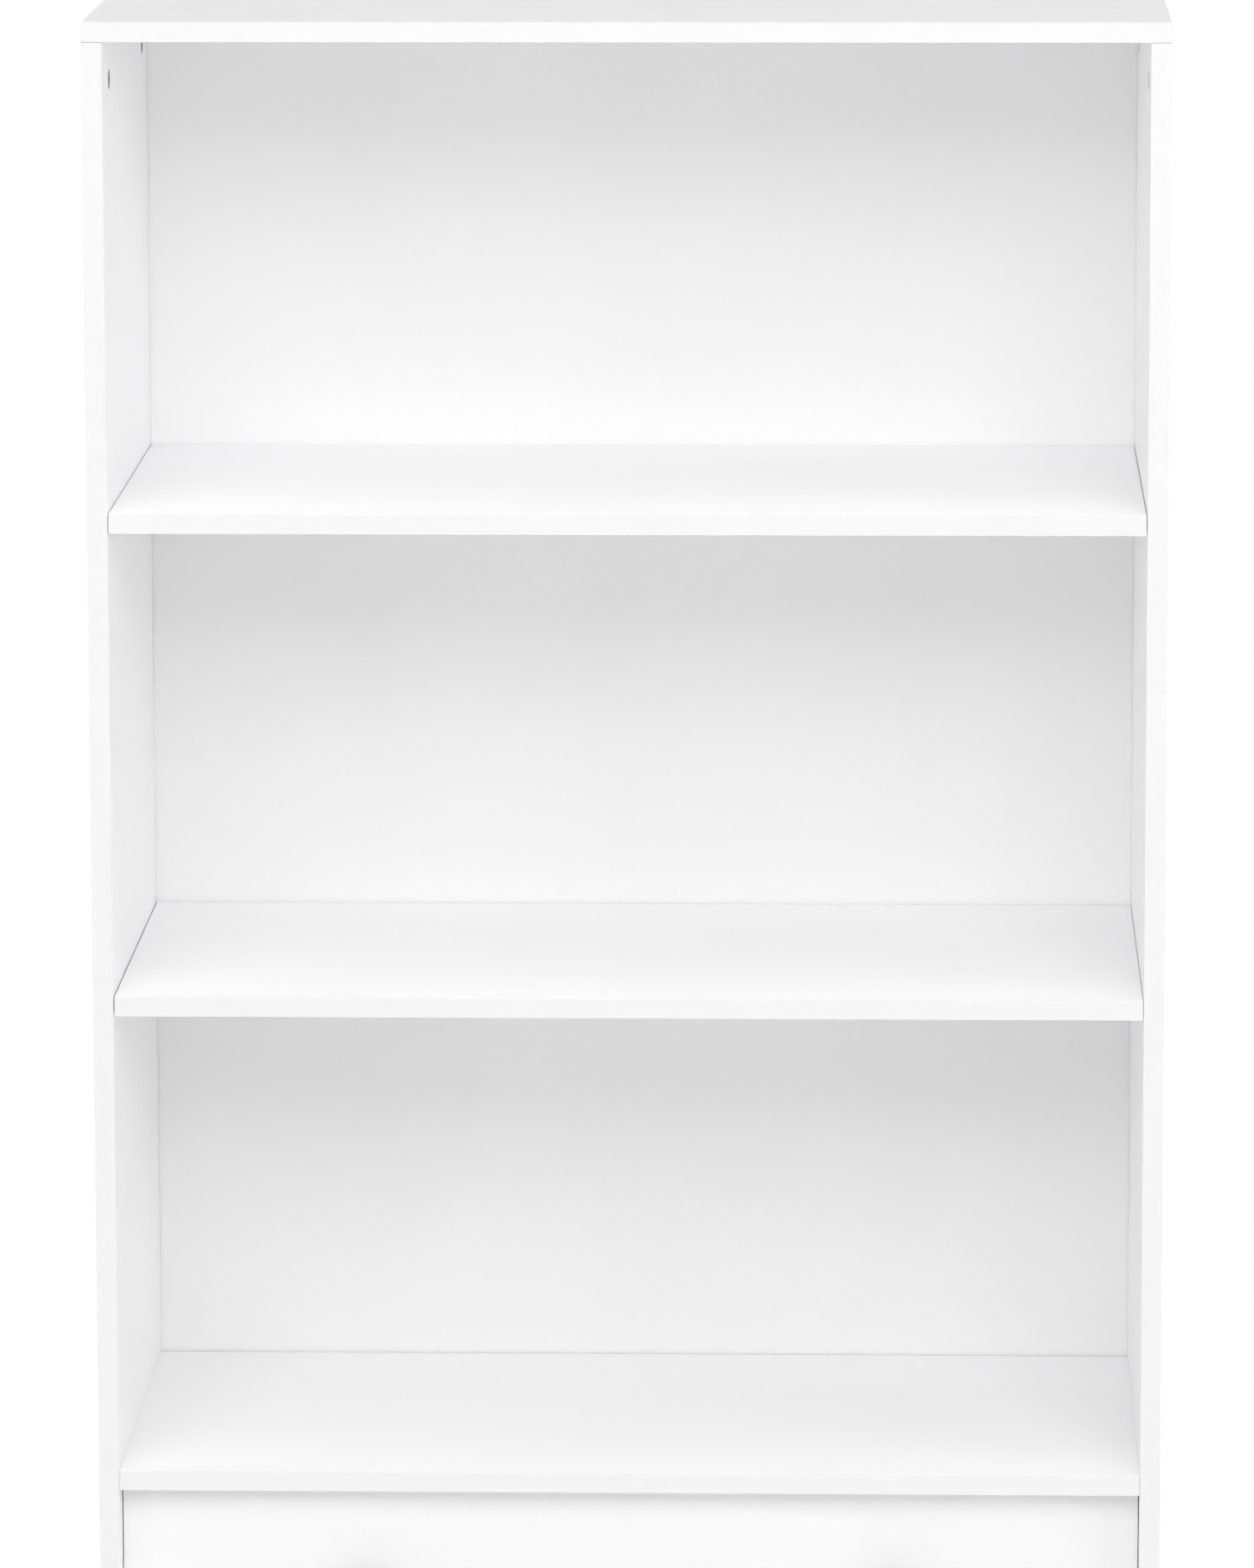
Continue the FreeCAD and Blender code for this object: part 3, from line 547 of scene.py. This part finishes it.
def carved(shape, cutters):
    # the shape less each cutter, as a new bmesh
    made = []
    for number, part in enumerate([shape] + cutters):
        part = bpy.data.objects.new(f"carving{number}", meshFrom(part, f"carving{number}"))
        scene.collection.objects.link(part)
        made.append(part)
    for cutter in made[1:]:
        cut = made[0].modifiers.new("cut", "BOOLEAN")
        cut.operation = "DIFFERENCE"
        cut.solver = "EXACT"
        cut.object = cutter
    graph = bpy.context.evaluated_depsgraph_get()
    mesh = bpy.data.meshes.new_from_object(made[0].evaluated_get(graph))
    result = bmesh.new()
    result.from_mesh(mesh)
    bpy.data.meshes.remove(mesh)
    for part in made:
        mesh = part.data
        bpy.data.objects.remove(part)
        bpy.data.meshes.remove(mesh)
    return result


def frameAt(place, axis, across):
    # matrix with local Z along the axis and local X along the other direction
    axis = Vector(axis).normalized()
    across = Vector(across).normalized()
    turn = Matrix((across, axis.cross(across), axis)).transposed().to_4x4()
    return Matrix.Translation(place) @ turn


def islands(name):
    # boxes of the separate solids in one CAD node
    shape = bmesh.new()
    shape.from_mesh(nodes[name].data)
    bmesh.ops.remove_doubles(shape, verts=shape.verts, dist=weldReach)
    waiting = set(shape.verts)
    boxes = []
    while waiting:
        pending = [waiting.pop()]
        low = pending[0].co.copy()
        high = low.copy()
        while pending:
            vert = pending.pop()
            low = Vector(map(min, low, vert.co))
            high = Vector(map(max, high, vert.co))
            for edge in vert.link_edges:
                other = edge.other_vert(vert)
                if other in waiting:
                    waiting.remove(other)
                    pending.append(other)
        boxes.append((low, high))
    shape.free()
    return sorted(boxes, key=lambda box: tuple(round(value, 5) for value in box[0]))


def makePiece(name, node, shape, placements, finish, body, sharp=40):
    # copies of one shape gathered in a mesh that stands for a CAD node
    gathered = bmesh.new()
    for placement in placements:
        fresh = {vert: gathered.verts.new(placement @ vert.co) for vert in shape.verts}
        for face in shape.faces:
            gathered.faces.new([fresh[vert] for vert in face.verts])
    shape.free()
    mesh = meshFrom(gathered, name)
    mesh.materials.append(finish)
    mesh.shade_smooth()
    mesh.set_sharp_from_angle(angle=math.radians(sharp))
    piece = bpy.data.objects.new(name, mesh)
    scene.collection.objects.link(piece)
    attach(piece, body)
    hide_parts(node)


def middle(box):
    return (box[0] + box[1]) / 2


def sign(value):
    return 1 if value > 0 else -1


# cam discs, with a driver cross in the face and a bore for the head of the bolt

camDisc = {
    "chamfer": 0.5 * mm, "step": 0.35 * mm, "lip": 1.1 * mm, "borePast": mm,
    "crossReach": 7 * mm, "crossWidth": 1.6 * mm, "crossDepth": 2.4 * mm,
}
carcassCam = {"radius": 7.4 * mm, "depth": 12.4 * mm, "bore": 3.7 * mm, "boreDepth": 7.5 * mm}
drawerCam = {"radius": 5.9 * mm, "depth": 9.4 * mm, "bore": 2.8 * mm, "boreDepth": 6 * mm}


def camShape(radius, depth, bore, boreDepth):
    chamfer, step = camDisc["chamfer"], camDisc["step"]
    inner = radius - camDisc["lip"]
    outline = [(0, -step), (inner, -step), (inner + step, 0), (radius - chamfer, 0), (radius, -chamfer),
               (radius, -depth + chamfer), (radius - chamfer, -depth), (0, -depth)]
    past = radius + camDisc["borePast"]
    tunnel = turned([(0, 0), (bore, 0), (bore, past), (0, past)], steps=24)
    across = frameAt((0, 0, -boreDepth), (1, 0, 0), (0, 1, 0))
    bmesh.ops.transform(tunnel, verts=tunnel.verts, matrix=across)
    cross = crossCutter(camDisc["crossReach"], camDisc["crossWidth"], camDisc["crossDepth"])
    return carved(turned(outline, steps=64), [tunnel, cross])


def carcassCamPlace(box):
    # the thin way of the box is the axis of the disc
    size = box[1] - box[0]
    centre = middle(box)
    thin = min(range(3), key=lambda axis: size[axis])
    outward = Vector((sign(centre.x), 0, 0))
    if thin == 0:  # under the top, open to the inside of the bookcase
        centre.x = box[0].x if centre.x > 0 else box[1].x
        return frameAt(centre, -outward, (0, 0, 1))
    if thin == 2:  # in the fixed shelf and the base, open below
        centre.z = box[0].z
        return frameAt(centre, (0, 0, -1), outward)
    centre.y = box[1].y  # in the plinth, open behind
    return frameAt(centre, (0, 1, 0), outward)


carcassCamPlaces = [carcassCamPlace(box) for box in islands("carcass_cam_discs")]
makePiece("carcassCamDiscs", "carcass_cam_discs", camShape(**carcassCam), carcassCamPlaces,
          castZinc, "carcass")
for level in levels:
    node = level + "_drawer_cam_discs"
    places = []
    for box in islands(node):
        centre = middle(box)
        centre.x = box[1].x if centre.x > 0 else box[0].x
        places.append(frameAt(centre, (sign(centre.x), 0, 0), (0, -1, 0)))
    makePiece(level + "DrawerCamDiscs", node, camShape(**drawerCam), places,
              castZinc, level + "_drawer")
print("cam discs made")


# knobs, turned from (radius, height) points in millimetres

knob = {
    "foot": [(7, 0), (7, 0.9), (5.9, 1.5), (5.9, 2.3), (5, 2.8)],
    "neck": [(4.7, 6.5), (5, 11), (5.9, 13.4), (8.4, 15), (12.2, 15.6)],
    "rim": [(14.3, 16.3), (15, 17.7), (15, 19.5), (14.5, 20.5)],
    "groove": [(13.4, 20.75), (13.1, 20.5), (12.6, 20.5), (12.3, 21.0)],
    "top": 23.5, "fillet": 0.7, "domeSteps": 14,
}


def knobShape():
    points = [(0, 0)] + knob["foot"] + knob["neck"] + knob["rim"] + knob["groove"]
    corners = [(radius * mm, height * mm) for radius, height in points]
    profile = softened(corners, knob["fillet"] * mm, steps=5)
    edge, start = knob["groove"][-1]
    rise = knob["top"] - start
    for step in range(1, knob["domeSteps"] + 1):
        share = step / knob["domeSteps"]
        profile.append((edge * (1 - share) * mm, (start + rise * (1 - (1 - share) ** 2)) * mm))
    return turned(profile, steps=96)


for level in levels:
    node = level + "_drawer_knobs"
    boxes = islands(node)
    places = [frameAt((middle(box).x, box[1].y, middle(box).z), (0, -1, 0), (1, 0, 0)) for box in boxes]
    nickel = makeNickel(level + "Nickel", nickelLook, abs(middle(boxes[0]).x), middle(boxes[0]).z)
    makePiece(level + "DrawerKnobs", node, knobShape(), places, nickel, level + "_drawer",
              sharp=50)
print("knobs made")


# screws and nails

screwForm = {  # shares of the head and the shank, and lengths
    "root": 0.74, "flat": 0.55, "rim": 0.75, "rounding": 0.35, "tip": 0.6, "tipLength": mm,
    "smooth": 1.2 * mm, "unthreaded": 3.2 * mm, "rowsPerTurn": 6,
    "crossReach": 1.2, "crossWidth": 0.3, "crossDepth": 0.8, "deepestCross": 1.6 * mm,
}


def screwShape(head, headHeight, shank, length, pitch):
    # head above z = 0, thread below
    form = screwForm
    root = shank * form["root"]
    corners = [(head * form["flat"], headHeight), (head, headHeight * form["rim"]), (head, 0), (shank, 0)]
    profile = [(0, headHeight)] + softened(corners, headHeight * form["rounding"], steps=3)
    profile.append((shank, -form["smooth"]))
    threaded = length - form["unthreaded"]
    rows = int(threaded / pitch * form["rowsPerTurn"])
    for row in range(rows + 1):
        profile.append((root, -form["smooth"] - threaded * row / rows, shank - root))
    profile += [(root * form["tip"], -length + form["tipLength"]), (0, -length)]
    deep = min(headHeight * form["crossDepth"], form["deepestCross"])
    cutter = crossCutter(head * form["crossReach"], head * form["crossWidth"], deep)
    bmesh.ops.translate(cutter, verts=cutter.verts, vec=(0, 0, headHeight))
    return carved(turned(profile, steps=24, pitch=pitch), [cutter])


smallScrew = {
    "head": 3.2 * mm, "headHeight": 1.2 * mm, "shank": 1.6 * mm, "length": 12.2 * mm, "pitch": 1.4 * mm,
}
bracketScrew = dict(smallScrew, length=13 * mm)
backScrew = {
    "head": 3.5 * mm, "headHeight": 3 * mm, "shank": 2.5 * mm, "length": 35 * mm, "pitch": 2.2 * mm,
}
knobScrew = {
    "head": 4 * mm, "headHeight": 2.4 * mm, "shank": 2 * mm, "length": 26 * mm, "pitch": 0.8 * mm,
}


# each seat gives the point under the head and the way that the head looks

def runnerSeat(box, centre, headHeight):
    inner = min(abs(box[0].x), abs(box[1].x)) + headHeight
    return (sign(centre.x) * inner, centre.y, centre.z), (-sign(centre.x), 0, 0)


def underSeat(box, centre, headHeight):
    return (centre.x, centre.y, box[0].z + headHeight), (0, 0, -1)


def backSeat(box, centre, headHeight):
    outer = max(abs(box[0].x), abs(box[1].x)) - headHeight
    return (sign(centre.x) * outer, centre.y, centre.z), (sign(centre.x), 0, 0)


def knobSeat(box, centre, headHeight):
    return (centre.x, box[1].y - headHeight, centre.z), (0, 1, 0)


def makeScrews(name, node, sizes, seat, body):
    places = []
    for box in islands(node):
        point, look = seat(box, middle(box), sizes["headHeight"])
        side = (1, 0, 0) if look[2] else (0, 0, 1)
        places.append(frameAt(point, look, side))
    makePiece(name, node, screwShape(**sizes), places, platedSteel, body)


makeScrews("cabinetRunnerScrews", "cabinet_runner_screws", smallScrew, runnerSeat, "carcass")
makeScrews("wallBracketScrews", "wall_bracket_screws", bracketScrew, underSeat, "carcass")
for level in levels:
    body = level + "_drawer"
    makeScrews(level + "RailScrews", body + "_rail_screws", smallScrew, underSeat, body)
    makeScrews(level + "BackScrews", body + "_back_screws", backScrew, backSeat, body)
    makeScrews(level + "KnobScrews", body + "_knob_screws", knobScrew, knobSeat, body)

nail = {
    "head": 2.2 * mm, "flat": 1.76 * mm, "headHeight": 0.5 * mm, "rim": 0.25 * mm, "shank": 0.8 * mm,
    "throat": 1.04 * mm, "throatLength": mm, "length": 20 * mm, "point": 2 * mm,
}


def nailShape():
    head, height, shank, length = nail["head"], nail["headHeight"], nail["shank"], nail["length"]
    profile = [(0, height), (nail["flat"], height), (head, nail["rim"]), (head, 0), (nail["throat"], 0),
               (shank, -nail["throatLength"]), (shank, -length + nail["point"]), (0, -length)]
    return turned(profile, steps=20)


nailPlaces = []
for box in islands("back_panel_nails"):
    centre = middle(box)
    nailPlaces.append(frameAt((centre.x, box[1].y - nail["headHeight"], centre.z), (0, 1, 0), (1, 0, 0)))
makePiece("backPanelNails", "back_panel_nails", nailShape(), nailPlaces,
          platedSteel, "carcass")
print("screws and nails made")


# rollers, with holes in the web so that a turn shows

roller = {
    "radius": 7.5 * mm, "bore": 2.06 * mm, "hub": 3.7 * mm, "rim": 6.1 * mm, "web": 1.1 * mm,
    "draft": 0.3 * mm, "chamfer": 0.5 * mm, "crown": 0.18 * mm, "holes": 6, "hole": 0.75 * mm,
}


def rollerShape(width):
    half = width / 2
    web = half - roller["web"]
    hub, rim, radius = roller["hub"], roller["rim"], roller["radius"]
    draft, chamfer = roller["draft"], roller["chamfer"]
    outer = [(roller["bore"], half), (hub, half), (hub + draft, web), (rim - draft, web), (rim, half),
             (radius - chamfer, half), (radius - roller["crown"], half - chamfer), (radius, 0)]
    profile = outer + [(away, -height) for away, height in reversed(outer[:-1])]
    cutters = []
    reach = (hub + rim) / 2
    hole = roller["hole"]
    for number in range(roller["holes"]):
        angle = 2 * math.pi * number / roller["holes"]
        place = (reach * math.cos(angle), reach * math.sin(angle), 0)
        cutter = turned([(0, -width), (hole, -width), (hole, width), (0, width)], steps=16)
        bmesh.ops.translate(cutter, verts=cutter.verts, vec=place)
        cutters.append(cutter)
    return carved(turned(profile, steps=64, closed=True), cutters)


for level in levels:
    for end in ("front", "rear"):
        node = f"{level}_drawer_{end}_rollers"
        boxes = islands(node)
        places = [frameAt(middle(box), (1, 0, 0), (0, 1, 0)) for box in boxes]
        width = boxes[0][1].x - boxes[0][0].x
        makePiece(f"{level}{end.title()}Rollers", node, rollerShape(width), places, nylon,
                  f"{level}_{end}_rollers")
print("rollers made")


# shelf pins, with a flat under the shelf

shelfPin = {
    "radius": 2.5 * mm, "length": 17 * mm, "seat": 9 * mm, "flat": 0.5 * mm, "chamfer": 0.4 * mm,
    "cutHeight": 2 * mm, "cutWidth": 8 * mm, "cutPast": mm,
}


def pinShape():
    radius, length, chamfer = shelfPin["radius"], shelfPin["length"], shelfPin["chamfer"]
    seat, height, past = shelfPin["seat"], shelfPin["cutHeight"], shelfPin["cutPast"]
    body = turned([(0, 0), (radius - chamfer, 0), (radius, chamfer), (radius, length - chamfer),
                   (radius - chamfer, length), (0, length)], steps=32)
    cutter = bmesh.new()
    bmesh.ops.create_cube(cutter, size=1)
    bmesh.ops.scale(cutter, verts=cutter.verts, vec=(height, shelfPin["cutWidth"], seat + past))
    place = (radius - shelfPin["flat"] + height / 2, 0, length - (seat - past) / 2)
    bmesh.ops.translate(cutter, verts=cutter.verts, vec=place)
    return carved(body, [cutter])


for level in levels:
    node = level + "_shelf_pins"
    places = []
    for box in islands(node):
        centre = middle(box)
        side = sign(centre.x)
        outer = max(abs(box[0].x), abs(box[1].x))
        axisZ = box[0].z + shelfPin["radius"]
        places.append(frameAt((side * outer, centre.y, axisZ), (-side, 0, 0), (0, 0, 1)))
    makePiece(level + "ShelfPins", node, pinShape(), places, platedSteel, "carcass")
print("shelf pins made")


# floor glides

glide = {
    "radius": 7 * mm, "height": 4 * mm, "chamfer": 1.2 * mm, "rounding": 0.6 * mm,
    "pin": 1.2 * mm, "top": 16 * mm, "point": 2 * mm,
}


def glideShape():
    radius, height, pin, chamfer = glide["radius"], glide["height"], glide["pin"], glide["chamfer"]
    corners = [(0, 0), (radius - chamfer, 0), (radius, chamfer), (radius, height), (pin, height)]
    foot = softened(corners, glide["rounding"])
    return turned(foot + [(pin, glide["top"] - glide["point"]), (0, glide["top"])], steps=40)


glidePlaces = []
for box in islands("floor_glides"):
    centre = middle(box)
    glidePlaces.append(frameAt((centre.x, centre.y, box[0].z), (0, 0, 1), (1, 0, 0)))
makePiece("floorGlides", "floor_glides", glideShape(), glidePlaces,
          glidePlastic, "carcass")
print("glides made")


# metal and wooden pieces that stay as the CAD made them

rivetReach = 3.3 * mm


def dressRunner(name, rollerNode):
    # the axle rivets are plain steel, the rail is coated
    dressWhole(name, epoxy)
    mesh = nodes[name].data
    mesh.materials.append(platedSteel)
    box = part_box(name)
    axes = [middle(island) for island in islands(rollerNode) if island[0].x * middle(box).x > 0]
    for polygon in mesh.polygons:
        for axis in axes:
            away = polygon.center - axis
            if math.hypot(away.y, away.z) < rivetReach:
                polygon.material_index = 1


dressWhole("carcass_cam_bolts", platedSteel)
dressWhole("carcass_dowels", beech)
dressWhole("wall_bracket", platedSteel)
for level in levels:
    dressWhole(level + "_drawer_cam_bolts", platedSteel)
    dressWhole(level + "_drawer_dowels", beech)
    for side in ("left", "right"):
        dressRunner(f"{level}_drawer_{side}_rail", level + "_drawer_rear_rollers")
        dressRunner(f"{level}_drawer_{side}_cabinet_runner", level + "_drawer_front_rollers")
print("metal dressed")


# camera, fitted to the edges of the boards in the photograph

shot = {
    "focalPixels": 10358.26, "longSide": 1826, "sensor": 36.0, "place": (0.20675, -6.7139, 2.07605),
    "pitch": 0.173591, "yaw": -0.03174, "roll": 0.002204, "farthest": 100,
}


def placeCamera():
    lens = bpy.data.cameras.new("photoCamera")
    lens.sensor_width = shot["sensor"]
    lens.lens = shot["focalPixels"] / shot["longSide"] * shot["sensor"]
    lens.clip_end = shot["farthest"]
    yaw, pitch, roll = shot["yaw"], shot["pitch"], shot["roll"]
    forward = Vector((math.sin(yaw) * math.cos(pitch), math.cos(yaw) * math.cos(pitch), -math.sin(pitch)))
    right = Vector((math.cos(yaw), -math.sin(yaw), 0))
    down = forward.cross(right)
    rolledRight = right * math.cos(roll) + down * math.sin(roll)
    rolledDown = down * math.cos(roll) - right * math.sin(roll)
    turn = Matrix((rolledRight, -rolledDown, -forward)).transposed().to_4x4()
    camera = bpy.data.objects.new("photoCamera", lens)
    scene.collection.objects.link(camera)
    camera.matrix_world = Matrix.Translation(shot["place"]) @ turn
    scene.camera = camera


# light, air and floor

lamps = {
    "frontHigh": {"place": (0, -6.5, 5.0), "aim": (0, 0, 0.9), "size": (6.0, 4.0), "watts": 278},
    "frontRight": {"place": (5.0, -6.0, 2.5), "aim": (0, 0, 0.9), "size": (4.0, 4.0), "watts": 48},
    "frontLeft": {"place": (-5.0, -6.0, 2.5), "aim": (0, 0, 0.9), "size": (4.0, 4.0), "watts": 97},
    "wideRight": {"place": (6.0, -3.6, 2.4), "aim": (0, 0, 0.9), "size": (3.0, 3.0), "watts": 94},
    "overhead": {"place": (0, -2.5, 7.0), "aim": (0, 0, 0.9), "size": (5.0, 4.0), "watts": 122},
    "overNear": {"place": (0, -0.6, 6.0), "aim": (0, 0, 0.9), "size": (5.0, 3.0), "watts": 45},
    "leftFill": {"place": (-5.0, 0.8, 1.3), "aim": (0, 0, 0.8), "size": (3.0, 2.0), "watts": 70},
    "rightFill": {"place": (5.0, 0.8, 1.3), "aim": (0, 0, 0.8), "size": (3.0, 2.0), "watts": 55},
    "rearFill": {"place": (0, 5.5, 1.4), "aim": (0, 0, 0.8), "size": (5.0, 2.2), "watts": 140},
}
air = {"ambient": 0.06, "wallTop": 0.25, "ceilingStart": 0.8, "ceiling": 0.3}
floorLook = {
    "radius": 9.0, "segments": 96, "colour": (0.86, 0.86, 0.86, 1),
    "nearGlow": 0.4, "near": 0.5, "far": 1.0, "toothSize": 0.002, "toothDepth": 0.05 * mm,
}


def placeLamps():
    for name, lamp in lamps.items():
        light = bpy.data.lights.new(name, "AREA")
        light.shape = "RECTANGLE"
        light.size, light.size_y = lamp["size"]
        light.energy = lamp["watts"]
        holder = bpy.data.objects.new(name, light)
        scene.collection.objects.link(holder)
        holder.visible_glossy = False  # gloss mirrors the white room, so no board glares from any side
        holder.location = lamp["place"]
        way = Vector(lamp["aim"]) - Vector(lamp["place"])
        holder.rotation_euler = way.to_track_quat("-Z", "Y").to_euler()


def fillAir():
    world = bpy.data.worlds.new("studioAir")
    scene.world = world
    studio = Finish(world)
    way = studio.node("ShaderNodeTexCoord", out="Generated")
    rise = studio.node("ShaderNodeSeparateXYZ", {}, {"Vector": way}, "Z")
    room = studio.span(rise, air["wallTop"], air["ceilingStart"], 1.0, air["ceiling"])
    path = studio.node("ShaderNodeLightPath", out="Is Camera Ray")
    mirrored = path.other("Is Glossy Ray") + path.other("Is Transmission Ray")
    # plain white for the lens, white walls and a dim ceiling for metal
    strength = air["ambient"] + path * (1 - air["ambient"]) + mirrored * (room - air["ambient"])
    glow = studio.node("ShaderNodeBackground", {}, {"Color": (1, 1, 1, 1), "Strength": strength})
    studio.node("ShaderNodeOutputWorld", {}, {"Surface": glow})


def layFloor():
    shape = bmesh.new()
    segments, radius = floorLook["segments"], floorLook["radius"]
    bmesh.ops.create_circle(shape, cap_ends=True, segments=segments, radius=radius)
    slab = bpy.data.objects.new("studioFloor", meshFrom(shape, "studioFloor"))
    scene.collection.objects.link(slab)
    slab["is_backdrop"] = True
    paper = newFinish("paperFloor")
    away = paper.node("ShaderNodeVectorMath", {"operation": "LENGTH"}, {0: paper.spot()}, "Value")
    fade = paper.span(away, floorLook["near"], floorLook["far"], floorLook["nearGlow"], 1.0)
    tooth = paper.bumped(paper.noise(floorLook["toothSize"], detail=3), floorLook["toothDepth"])
    sheet = paper.node("ShaderNodeBsdfDiffuse", {}, {"Color": floorLook["colour"], "Normal": tooth})
    glow = paper.node("ShaderNodeEmission", {}, {"Color": (1, 1, 1, 1), "Strength": 1.0})
    upper = paper.node("ShaderNodeMixShader", {}, {0: fade * paper.seen(), 1: sheet, 2: glow})
    under = paper.node("ShaderNodeNewGeometry", out="Backfacing")
    clear = paper.node("ShaderNodeBsdfTransparent")
    whole = paper.node("ShaderNodeMixShader", {}, {0: under, 1: upper, 2: clear})  # clear from below
    paper.node("ShaderNodeOutputMaterial", {}, {"Surface": whole})
    slab.data.materials.append(paper.owner)


placeCamera()
placeLamps()
fillAir()
layFloor()
scene.view_settings.view_transform = "Standard"
scene.cycles.diffuse_bounces = 8  # light goes on between the white boards
print("studio set")

boxes = {"cad": cadBox, "visual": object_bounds()}
